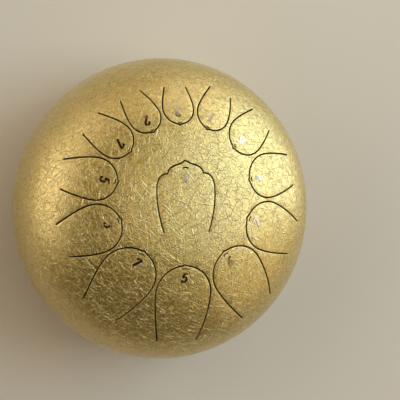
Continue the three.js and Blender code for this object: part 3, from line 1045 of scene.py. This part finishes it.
    def build(self, *finishes: bpy.types.Material) -> None:
        """Makes the shell and its tongues, and puts them in the frame.

        Args:
            *finishes: The finish of each side, in their order.
        """
        sheet = self.flat_sheet()
        self.cut_grid(sheet)
        for tongue in self.tongues:
            self.cut_root(sheet, tongue)
        sheet.faces.index_update()
        rest = {f.index for f in sheet.faces}
        for tongue in self.tongues:
            seed = self.crown.flatten(tongue.place(tongue.length / 2, 0)).to_3d()
            kept = self.island(sheet, seed)
            rest -= kept
            made = self.part_of(sheet, kept, f"tongue_plate_{tongue.note}", *finishes)
            start, end = tongue.place(tongue.length, 0), tongue.place(tongue.length - self.bend, 0)
            body = f"{tongue.note}_tongue"
            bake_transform(made, "drum", body, self.on_crown(start), self.on_crown(end))
            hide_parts(f"tongue_{tongue.note}")
        shell = self.part_of(sheet, rest, "crown_shell", *finishes)
        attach(shell, "drum")
        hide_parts("upper_shell")
        sheet.free()

    def on_crown(self, plan: Vector) -> Vector:
        """The point of the crown over a point of the plan."""
        return self.crown.press(self.crown.flatten(plan), 0)

    def part_of(
        self, sheet: BMesh, kept: set[int], name: str, *materials: bpy.types.Material
    ) -> bpy.types.Object:
        """Presses some faces of the flat sheet into a piece of their own.

        Args:
            sheet: The sheet, which stays as it is.
            kept: The faces' numbers.
            name: The piece's name.
            *materials: The finish of each side, in their order.

        Returns:
            The piece.
        """
        bm = sheet.copy()
        bmesh.ops.delete(bm, geom=[f for f in bm.faces if f.index not in kept], context="FACES")
        self.thicken(bm)
        return piece(name, bm, *materials)


# Numerals


@dataclass(frozen=True)
class Numeral:
    """A foil numeral, drawn with a broad pen and laid on a tongue with its head towards the tip."""

    height: float = 9.2
    width: float = 5.0
    slant: float = 0.24
    thick: float = 2.6
    thin: float = 0.6
    pen: float = -20.0  # which way the pen's edge lies
    ball: float = 1.3  # radius of the blob that ends a curve
    dome: float = 0.6  # how high a stroke's section would reach
    foil: float = 0.2  # how high it reaches, because its top is pressed flat
    dome_steps: int = 8
    fold: float = 15.0  # edges of the foil that are sharper than this stay sharp
    setback: float = 13.1
    arch_setback: float = 16.6
    steps: int = 14

    def strokes(self, numeral: int) -> list[list[Vector]]:
        """Each stroke of a numeral.

        Args:
            numeral: Which one.

        Returns:
            The strokes' points, in a box that reaches half its width and height each way.
        """

        def line(*points: tuple[float, float]) -> list[Vector]:
            """A run of straight spans, cut small enough to bend.

            Args:
                *points: Its corners.

            Returns:
                Its points.
            """
            run = [Vector(p) for p in points]
            spans = zip(run, run[1:])
            return [a.lerp(b, i / self.steps) for a, b in spans for i in range(self.steps)] + run[-1:]

        def curve(x: float, y: float, across: float, up: float, start: float, end: float) -> list[Vector]:
            """A stretch of an ellipse."""
            return arc(Vector((x, y)), Vector((across, up)), start, end, self.steps * 2)

        drawn = {
            1: [
                line((-0.34, 0.3), (0.08, 0.5)),
                line((0.08, 0.5), (0.08, -0.48)),
                line((-0.32, -0.48), (0.48, -0.48)),
            ],
            2: [
                curve(0, 0.24, 0.42, 0.24, 165, -30)[:-1] + line((0.364, 0.12), (-0.42, -0.44)),
                line((-0.48, -0.45), (0.48, -0.45)),
            ],
            3: [curve(0, 0.25, 0.4, 0.23, 155, -90), curve(0, -0.23, 0.44, 0.25, 90, -155)],
            4: [
                line((0.2, 0.5), (-0.44, -0.2)),
                line((-0.46, -0.2), (0.52, -0.2)),
                line((0.2, 0.5), (0.2, -0.5)),
            ],
            5: [
                line((-0.3, 0.44), (0.46, 0.46)),
                line((-0.28, 0.46), (-0.36, 0.04)),
                curve(-0.02, -0.18, 0.44, 0.3, 140, -150),
            ],
            6: [curve(0, -0.2, 0.42, 0.27, 180, -180), curve(0.5, -0.2, 0.92, 0.68, 180, 105)],
            7: [line((-0.46, 0.44), (0.46, 0.46)), line((0.44, 0.46), (-0.16, -0.5))],
        }
        return drawn[numeral]

    def balls(self, numeral: int) -> list[Vector]:
        """Where a numeral's curves end in a blob.

        Args:
            numeral: Which one.

        Returns:
            The blobs' places, in the same box.
        """
        drawn = {
            2: [(-0.38, 0.3)],
            3: [(-0.34, 0.33), (-0.38, -0.33)],
            5: [(-0.36, -0.34)],
            6: [(0.3, 0.42)],
            7: [(-0.42, 0.36)],
        }
        return [Vector(p) for p in drawn.get(numeral, [])]

    def sized(self, point: Vector) -> Vector:
        """A point of the box in millimetres, slanted."""
        up = point.y * self.height
        return Vector((point.x * self.width + up * self.slant, up))

    def stroke(self, bm: BMesh, run: list[Vector]) -> None:
        """Draws one stroke as a domed ribbon, widest where it runs square to the pen's edge.

        Args:
            bm: The mesh that gets it.
            run: Its points, in the box.
        """
        points = [self.sized(p) for p in run]
        nib = Vector((math.cos(math.radians(self.pen)), math.sin(math.radians(self.pen))))
        ways = [(b - a).normalized() for a, b in zip(points, points[1:])]
        widths = [self.thin + (self.thick - self.thin) * abs(w.cross(nib)) for w in [*ways, ways[-1]]]
        section = arc(Vector((0, 0)), Vector((0.5, self.dome)), 0, 180, self.dome_steps)

        def ring(point: Vector, side: Vector, width: float) -> list[Vector]:
            """The section at one point of the stroke."""
            return [(point + side * s.x * width).to_3d() + Vector((0, 0, s.y)) for s in section]

        rings = [ring(*step) for step in zip(points, mitres(points), widths)]
        start = end = new_ring(bm, rings[0])
        for places in rings[1:]:
            end = grow_ring(bm, end, places)
        bm.faces.new(start)
        bm.faces.new(end)

    def build(self, crown: Crown, tongue: Tongue, foil: bpy.types.Material) -> None:
        """Makes the numeral of one tongue, on the crown, and puts it in the frame.

        Args:
            crown: The crown.
            tongue: The tongue.
            foil: The numeral's finish.
        """
        bm = bmesh.new()
        for run in self.strokes(tongue.numeral):
            self.stroke(bm, run)
        flat = Matrix.Diagonal((self.ball, self.ball, self.dome, 1))
        for point in self.balls(tongue.numeral):
            place = Matrix.Translation(self.sized(point).to_3d()) @ flat
            bmesh.ops.create_uvsphere(
                bm, u_segments=self.steps, v_segments=self.dome_steps * 2, radius=1, matrix=place
            )
        setback = self.arch_setback if isinstance(tongue, ArchTongue) else self.setback
        for vert in bm.verts:
            plan = tongue.place(setback - vert.co.y, vert.co.x)
            vert.co = crown.press(crown.flatten(plan), -min(max(vert.co.z, 0.0), self.foil))
        bmesh.ops.recalc_face_normals(bm, faces=bm.faces)
        crease(bm, self.fold)
        made = piece(f"foil_numeral_{tongue.note}", bm, foil)
        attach(made, f"{tongue.note}_tongue")
        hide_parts(f"numeral_{tongue.note}")


# The lower shell and its feet


@dataclass(frozen=True)
class LowerShell:
    """The lower shell: a pressed pan with a flat base, a lipped sound hole, and a collar at the seam."""

    crown: Crown
    base: float = 9.0  # height of the base
    base_radius: float = 82.0
    fullness: float = 2.2  # power of the side's superellipse
    seam_lap: float = 6.0
    seam_clearance: float = 0.5
    hole_radius: float = 38.0
    hole_bend: float = 3.2
    hole_lip: float = 7.0
    steps: int = 28
    rim_steps: int = 3
    bend_steps: int = 6
    segments: int = 180

    def side(self, depth: float) -> Section:
        """The pan's side.

        Args:
            depth: How far below the outer face it is taken.

        Returns:
            Its section, from the seam down to the base.
        """
        across, down = self.crown.radius - self.base_radius, self.crown.seam - self.base
        power = 2 / self.fullness
        slope = self.fullness - 1
        found = []
        for i in range(self.steps + 1):
            turn = math.pi / 2 * (1 - i / self.steps)
            out, under = math.sin(turn) ** power, max(math.cos(turn), 0.0) ** power
            normal = Vector((out**slope / across, under**slope / down)).normalized()
            radius = self.base_radius + across * out - normal.x * depth
            found.append((radius, self.crown.seam - down * under + normal.y * depth))
        return found

    def profile(self) -> Section:
        """The section of the whole shell.

        Returns:
            Its points, those of the outer face first.
        """
        wall, seam, edge = self.crown.wall, self.crown.seam, self.crown.rim_lip
        bend_centre = (self.hole_radius + self.hole_bend, self.base + self.hole_bend)

        def bent(radius: float) -> Section:
            """The bend at the sound hole, from the base to the lip."""
            return corner(bend_centre, radius, 270, 180, self.bend_steps)

        rim = corner((self.crown.radius - edge, seam - edge), edge, 90, 0, self.rim_steps)
        flank = [p for p in self.side(0) if p[1] < seam - edge]
        outer = rim + flank + bent(self.hole_bend)
        half = wall / 2
        top = self.base + self.hole_lip
        lip = corner((self.hole_radius + half, top - half), half, 180, 0, self.bend_steps)
        inner = [*reversed(bent(self.hole_bend - wall)), *reversed(self.side(wall)[1:])]
        outside = self.crown.radius - wall - self.seam_clearance
        collar = [
            (outside - wall, seam),
            (outside - wall, seam + self.seam_lap),
            (outside, seam + self.seam_lap),
            (outside, seam),
        ]
        return outer + lip + inner + collar

    def build(self, paint: bpy.types.Material, primer: bpy.types.Material) -> None:
        """Makes the shell and puts it in the frame.

        Args:
            paint: The finish of its outer face.
            primer: The finish of its inner face.
        """
        bm = spun(self.profile(), self.segments)
        crease(bm)
        run = bm.verts.layers.float[RUN_LAYER]
        sheet = bm.verts.layers.float_vector.new(SHEET_LAYER)
        for vert in bm.verts:
            vert[sheet] = vert.co.xy.normalized().to_3d() * (self.crown.spread * math.pi / 2 - vert[run])
        middle = Vector((0, 0, self.crown.seam * MM))
        for face in bm.faces:
            centre = face.calc_center_median()
            inwards = face.normal.dot(middle - centre) > 0
            low = centre.xy.length < (self.hole_radius + self.hole_bend) * MM
            side = Side.INNER if inwards and not low else Side.OUTER
            face.material_index = side.value
        made = piece("lower_pan", bm, paint, primer)
        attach(made, "drum")
        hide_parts("lower_shell")


@dataclass(frozen=True)
class Feet:
    """Four rubber feet, each held by a screw, a washer in the foot's recess, and a nut inside the drum."""

    pan: LowerShell
    count: int = 4
    top_radius: float = 13.0
    tread_radius: float = 11.0
    tread_edge: float = 1.0  # radius of the tread's rounded edge
    small_edge: float = 0.5  # radius of the rounded edges at the top and at the recess
    top_turn: float = -10.0  # where the top's rounded edge meets the tapered side
    tread_turn: float = -8.0  # where the tread's rounded edge meets it
    corner_steps: int = 4
    recess_radius: float = 6.2
    recess_depth: float = 5.0
    hole_radius: float = 2.3
    screw_radius: float = 2.0
    thread_depth: float = 0.25
    thread_pitch: float = 0.7
    thread_crest: float = 0.25  # where its crest lies in a pitch
    thread_root: float = 0.75  # where its root lies in a pitch
    head_radius: float = 4.0
    head_height: float = 2.6
    head_round: float = 1.2
    cross_width: float = 1.0
    cross_span: float = 4.4
    cross_depth: float = 1.5
    proud: float = 1.5  # how far the screw stands out of its nut
    washer_radius: float = 5.6
    washer_thickness: float = 1.0
    washer_break: float = 0.2  # how far its edges are broken
    nut_sides: int = 6
    nut_across_flats: float = 7.0
    nut_height: float = 3.2
    nut_chamfer: float = 0.5
    segments: int = 48

    def places(self) -> list[Vector]:
        """Where the feet stand, midway between the sound hole's bend and the pan's side.

        Returns:
            The middle of each on the floor, in metres.
        """
        circle_radius = (self.pan.hole_radius + self.pan.hole_bend + self.pan.base_radius) / 2
        turns = [math.tau * (i + 0.5) / self.count for i in range(self.count)]
        return [Vector((math.cos(a), math.sin(a), 0)) * circle_radius * MM for a in turns]

    def foot(self) -> BMesh:
        """A tapered foot with a rounded tread, a recess under it and a hole for the screw.

        Returns:
            Its mesh, about Z.
        """
        top, tread, small, steps = self.pan.base, self.tread_edge, self.small_edge, self.corner_steps
        profile = [
            (self.hole_radius, top),
            *corner((self.top_radius - small, top - small), small, 90, self.top_turn, steps),
            *corner((self.tread_radius - tread, tread), tread, self.tread_turn, -90, steps),
            *corner((self.recess_radius + small, small), small, 270, 180, steps),
            (self.recess_radius, self.recess_depth),
            (self.hole_radius, self.recess_depth),
        ]
        return spun(profile, self.segments)

    def washer(self) -> BMesh:
        """A flat washer with broken edges, at the top of the recess.

        Returns:
            Its mesh, about Z.
        """
        low, high = self.recess_depth - self.washer_thickness, self.recess_depth
        profile = [
            (self.hole_radius, high),
            (self.washer_radius - self.washer_break, high),
            (self.washer_radius, high - self.washer_break),
            (self.washer_radius, low + self.washer_break),
            (self.washer_radius - self.washer_break, low),
            (self.hole_radius, low),
        ]
        return spun(profile, self.segments)

    def screw(self) -> BMesh:
        """A pan-headed screw with a cross recess. Its thread shows as rings where it stands out of its nut.

        Returns:
            Its mesh, about Z.
        """
        seat = self.recess_depth - self.washer_thickness
        low = seat - self.head_height
        top = self.pan.base + self.pan.crown.wall + self.nut_height + self.proud
        flat = self.head_radius - self.head_round
        dome = corner((flat, low + self.head_round), self.head_round, -90, 0, self.corner_steps)
        height = top - self.proud
        shank = [(self.screw_radius, seat), (self.screw_radius, height)]
        core_radius = self.screw_radius - self.thread_depth
        thread = []
        while height + self.thread_pitch < top:
            thread.append((self.screw_radius, height + self.thread_pitch * self.thread_crest))
            thread.append((core_radius, height + self.thread_pitch * self.thread_root))
            height += self.thread_pitch
        end = [(core_radius, top), (0.0, top)]
        bm = spun([*dome, (self.head_radius, seat), *shank, *thread, *end], self.segments, closed=False)
        rim = [e for e in bm.edges if e.is_boundary]
        cross = new_ring(bm, self.cross(low))
        bmesh.ops.triangle_fill(bm, use_beauty=True, edges=rim + edges_round(cross), normal=(0, 0, -1))
        bottom = grow_ring(bm, cross, self.cross(low + self.cross_depth))
        bm.faces.new(bottom)
        bmesh.ops.recalc_face_normals(bm, faces=bm.faces)
        return bm

    def cross(self, height: float) -> list[Vector]:
        """The outline of a screw's cross recess.

        Args:
            height: The height that it is taken at.

        Returns:
            Its points, in metres.
        """
        long, short = self.cross_span / 2, self.cross_width / 2
        arm = [Vector((long, -short, 0)), Vector((long, short, 0)), Vector((short, short, 0))]
        turns = [Matrix.Rotation(math.pi / 2 * i, 3, "Z") for i in range(4)]
        return [(turn @ p + Vector((0, 0, height))) * MM for turn in turns for p in arm]

    def nut(self) -> BMesh:
        """A hexagon nut with a chamfered upper rim.

        Returns:
            Its mesh, about Z.
        """
        low = self.pan.base + self.pan.crown.wall
        reach = self.nut_across_flats / 2 / math.cos(math.pi / self.nut_sides)
        bm = bmesh.new()
        for radius in (reach, self.screw_radius):
            bmesh.ops.create_circle(bm, cap_ends=False, segments=self.nut_sides, radius=radius * MM)
        bmesh.ops.bridge_loops(bm, edges=bm.edges[:])
        bmesh.ops.translate(bm, vec=(0, 0, low * MM), verts=bm.verts)
        made = bmesh.ops.extrude_face_region(bm, geom=bm.faces[:], use_keep_orig=True)["geom"]
        raised = [v for v in made if isinstance(v, BMVert)]
        bmesh.ops.translate(bm, vec=(0, 0, self.nut_height * MM), verts=raised)
        bmesh.ops.recalc_face_normals(bm, faces=bm.faces)
        middle = (self.screw_radius + reach) / 2 * MM
        tips = [v for v in raised if v.co.xy.length > middle]
        rim = [e for e in bm.edges if all(v in tips for v in e.verts)]
        bmesh.ops.bevel(
            bm,
            geom=rim,
            offset=self.nut_chamfer * MM,
            offset_type="OFFSET",
            affect="EDGES",
            segments=2,
            profile=0.5,
            material=-1,
        )
        return bm

    def build(self, rubber: bpy.types.Material, zinc: bpy.types.Material) -> None:
        """Makes the feet and their fasteners, and puts them in the frame.

        Args:
            rubber: The feet's finish.
            zinc: The fasteners' finish.
        """
        kinds = (
            ("rubber_foot", "foot", self.foot, rubber, Slot.RUBBER),
            ("zinc_washer", "foot_washer", self.washer, zinc, Slot.ZINC),
            ("zinc_screw", "foot_screw", self.screw, zinc, Slot.ZINC),
            ("zinc_nut", "foot_nut", self.nut, zinc, Slot.ZINC),
        )
        for number, place in enumerate(self.places(), 1):
            for name, node, shape, material, slot in kinds:
                bm = shape()
                bmesh.ops.translate(bm, vec=place, verts=bm.verts)
                crease(bm)
                made = piece(f"{name}_{number}", bm, material)
                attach(made, "drum")
                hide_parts(f"{node}_{number}")


# The studio


@dataclass(frozen=True)
class Softbox:
    """A square soft light that faces the drum."""

    name: str
    bearing: float  # from +X towards +Y
    elevation: float
    level: float  # how bright its face is
    colour: str
    size: float = 2.8  # in metres
    distance: float = 3.5  # in metres

    def build(self, aim: Vector) -> None:
        """Hangs the light.

        Args:
            aim: The point that it faces, in metres.
        """
        turn, lift = math.radians(self.bearing), math.radians(self.elevation)
        away = Vector((math.cos(turn) * math.cos(lift), math.sin(turn) * math.cos(lift), math.sin(lift)))
        data = bpy.data.lights.new(self.name, "AREA")
        data.size = self.size
        data.color = linear(self.colour)[:3]
        data.energy = self.level * math.pi * self.size * self.size
        made = bpy.data.objects.new(self.name, data)
        turned = away.to_track_quat("Z", "Y").to_matrix().to_4x4()
        made.matrix_world = Matrix.Translation(aim + away * self.distance) @ turned
        made.visible_camera = False
        bpy.context.scene.collection.objects.link(made)


@dataclass(frozen=True)
class Studio:
    """A pale floor, soft lights and the photograph's camera."""

    daylight: ClassVar[str] = "#C8ECFF"
    skylight: ClassVar[str] = "#E4F6FF"
    white: ClassVar[str] = "#FFF6E8"
    lamplight: ClassVar[str] = "#FFE4BE"
    softboxes: ClassVar[tuple[Softbox, ...]] = (
        Softbox("right softbox", 20, 20, 2.1, daylight),
        Softbox("high right softbox", 12, 54, 2.15, skylight, size=2.3),
        Softbox("top softbox", 0, 90, 1.4, lamplight, size=1.2),
        Softbox("front right softbox", -25, 30, 0.92, lamplight),
        Softbox("back right softbox", 54, 27, 1.45, white),
        Softbox("back softbox", 100, 30, 0.6, lamplight),
        Softbox("left softbox", 140, 26, 1.0, white),
        Softbox("low left softbox", 175, 21, 1.68, white),
        Softbox("front softbox", -95, 24, 0.08, lamplight, size=4.2),
        Softbox("low right softbox", 9, 3, 2.4, white, size=1.6),
    )
    floor_colour: str = "#D6CEC0"
    floor_roughness: float = 0.9
    floor_size: float = 16.0  # in metres
    world_colour: str = "#FFD8A8"
    world_level: float = 0.05
    aim: float = 79.0  # height of the point that the view was fitted at
    distance: float = 1800.0
    yaw: float = 18.51
    pitch: float = 2.39
    roll: float = 0.82
    centre: tuple[float, float] = (161.34, 208.43)  # the aim in the picture, in pixels
    picture: float = 400.0
    pixels_per_mm: float = 0.9825
    sensor: float = 36.0

    def camera(self) -> None:
        """Makes the camera."""
        turn = (
            Matrix.Rotation(math.radians(self.roll), 3, "Z")
            @ Matrix.Rotation(math.radians(self.pitch), 3, "X")
            @ Matrix.Rotation(math.radians(self.yaw), 3, "Y")
        )
        x, y = (c - self.picture / 2 for c in self.centre)
        shift = Vector((x / self.pixels_per_mm, -y / self.pixels_per_mm, -self.distance))
        data = bpy.data.cameras.new("camera")
        data.sensor_width = self.sensor
        data.lens = self.pixels_per_mm * self.distance * self.sensor / self.picture
        made = bpy.data.objects.new("camera", data)
        place = Vector((0, 0, self.aim)) - turn.transposed() @ shift
        made.matrix_world = Matrix.Translation(place * MM) @ turn.transposed().to_4x4()
        bpy.context.scene.collection.objects.link(made)
        bpy.context.scene.camera = made

    def floor(self) -> None:
        """Makes the floor, which shows from above only."""
        bm = bmesh.new()
        bmesh.ops.create_grid(bm, x_segments=1, y_segments=1, size=self.floor_size / 2)
        material, tree, shader = new_material("pale studio floor")
        shader.inputs["Base Color"].default_value = linear(self.floor_colour)
        shader.inputs["Roughness"].default_value = self.floor_roughness
        under = add_node(tree, "ShaderNodeNewGeometry").outputs["Backfacing"]
        clear = add_node(tree, "ShaderNodeBsdfTransparent").outputs[0]
        both = add_node(tree, "ShaderNodeMixShader", {0: under, 1: shader.outputs[0], 2: clear})
        tree.links.new(both.outputs[0], tree.nodes["Material Output"].inputs["Surface"])
        piece("studio_floor", bm, material)

    def build(self) -> None:
        """Sets the stage."""
        scene = bpy.context.scene
        scene.view_settings.view_transform = "Standard"
        world = bpy.data.worlds.new("studio")
        world.use_nodes = True
        world.node_tree.nodes["Background"].inputs["Color"].default_value = linear(self.world_colour)
        world.node_tree.nodes["Background"].inputs["Strength"].default_value = self.world_level
        scene.world = world
        self.floor()
        for softbox in self.softboxes:
            softbox.build(Vector((0, 0, self.aim * MM)))
        self.camera()


def main() -> None:
    """Builds the drum and the studio."""
    logging.basicConfig(level=logging.INFO, format="%(message)s")
    paint = CracklePaint().material()
    primer = PrimedSteel().material()
    foil = MirrorFoil().material()
    rubber = MouldedRubber().material()
    zinc = ZincPlate().material()
    crown = Crown()
    tongues = TonguePlan().tongues()
    UpperShell(crown, tongues).build(paint, primer, CutSteel().material())
    numeral = Numeral()
    for tongue in tongues:
        numeral.build(crown, tongue, foil)
    pan = LowerShell(crown)
    pan.build(paint, primer)
    Feet(pan).build(rubber, zinc)
    Studio().build()


if __name__ == "__main__":
    main()
